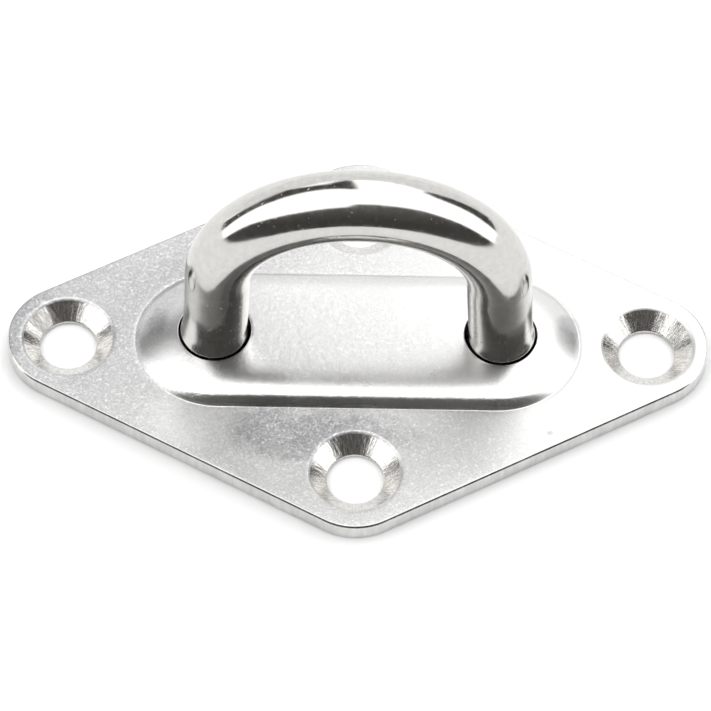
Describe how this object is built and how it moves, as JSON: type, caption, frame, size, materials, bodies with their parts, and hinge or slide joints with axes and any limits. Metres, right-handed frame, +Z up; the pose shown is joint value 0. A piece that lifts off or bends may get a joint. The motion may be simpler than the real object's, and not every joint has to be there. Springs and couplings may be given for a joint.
{
  "type": "pad eye",
  "caption": "Stainless steel pad eye: a polished round-bar bow welded through the raised pan of a pressed diamond plate with countersunk screw holes.",
  "frame": {"origin": "centre of the plate's underside, the face that lies on the deck", "axes": "+Z up off the deck through the eye, +X along the plate's long diagonal and across the eye's opening, +Y along the way a line passes through the eye"},
  "size_m": [0.087, 0.054, 0.0361],
  "materials": {
    "plate_steel": "satin tumbled stainless sheet with fine grain and light scratches",
    "bow_steel": "mirror-polished stainless round bar",
    "weld_steel": "cleaned stainless weld bead, dull and slightly straw-tinted"
  },
  "bodies": {
    "root": {"pad_plate": "plate_steel", "eye_bow": "bow_steel", "weld_bead_left": "weld_steel", "weld_bead_right": "weld_steel"}
  },
  "joints": []
}
